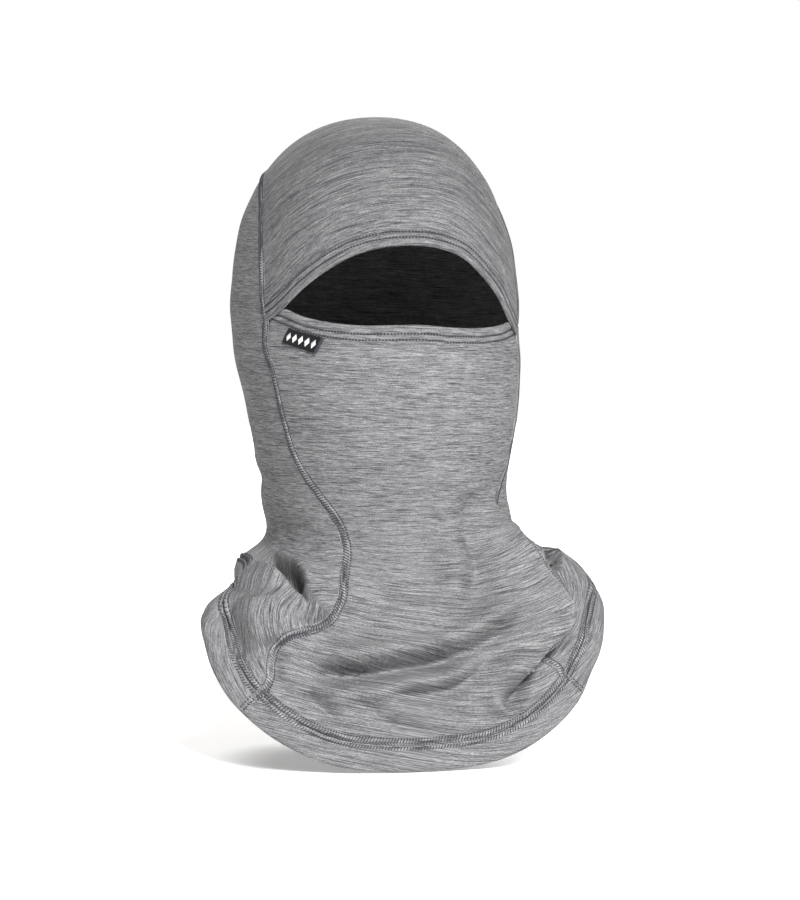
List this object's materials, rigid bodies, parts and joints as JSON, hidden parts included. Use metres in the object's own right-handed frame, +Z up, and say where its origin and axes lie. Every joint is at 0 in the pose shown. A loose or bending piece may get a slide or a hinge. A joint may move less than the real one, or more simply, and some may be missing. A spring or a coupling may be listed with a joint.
{
  "type": "balaclava",
  "caption": "Hinged knitted balaclava with an eye opening, a mask that pulls down, a crown that pushes back, and a short shoulder cape with a sewn hem band.",
  "frame": {"origin": "on the vertical axis of the wearer's head, at the height of the two corners of the eye opening", "axes": "+Z up through the crown of the head, -Y out of the face, +X to the wearer's left"},
  "size_m": [0.2341, 0.2218, 0.3663],
  "materials": {
    "jersey": "heather grey jersey knit, matt",
    "jersey_hem": "heather grey jersey folded double, matt",
    "jersey_band": "heather grey jersey band, matt",
    "thread": "slate grey sewing thread, slight sheen",
    "woven_label": "black woven label with a plain light pattern"
  },
  "bodies": {
    "cape": {"back_panel": "jersey", "bib_panel": "jersey", "hem_band_front": "jersey_band", "hem_band_back": "jersey_band", "crown_seam": "thread", "side_seam_left": "thread", "side_seam_right": "thread", "band_seam_front": "thread", "band_seam_back": "thread", "band_join_left": "thread", "band_join_right": "thread"},
    "crown": {"crown_panel": "jersey", "brow_hem": "jersey_hem", "brow_hem_stitching": "thread"},
    "mask": {"face_panel": "jersey", "nose_hem": "jersey_hem", "nose_hem_stitching": "thread", "label": "woven_label", "label_stitching": "thread"}
  },
  "joints": [
    {"name": "crown_hinge", "type": "hinge", "parent": "cape", "child": "crown", "pos_m": [0, -0.043, 0], "axis": [-1, 0, 0], "range_deg": [0, 25]},
    {"name": "mask_hinge", "type": "hinge", "parent": "cape", "child": "mask", "pos_m": [0, -0.043, 0], "axis": [1, 0, 0], "range_deg": [0, 30]}
  ]
}
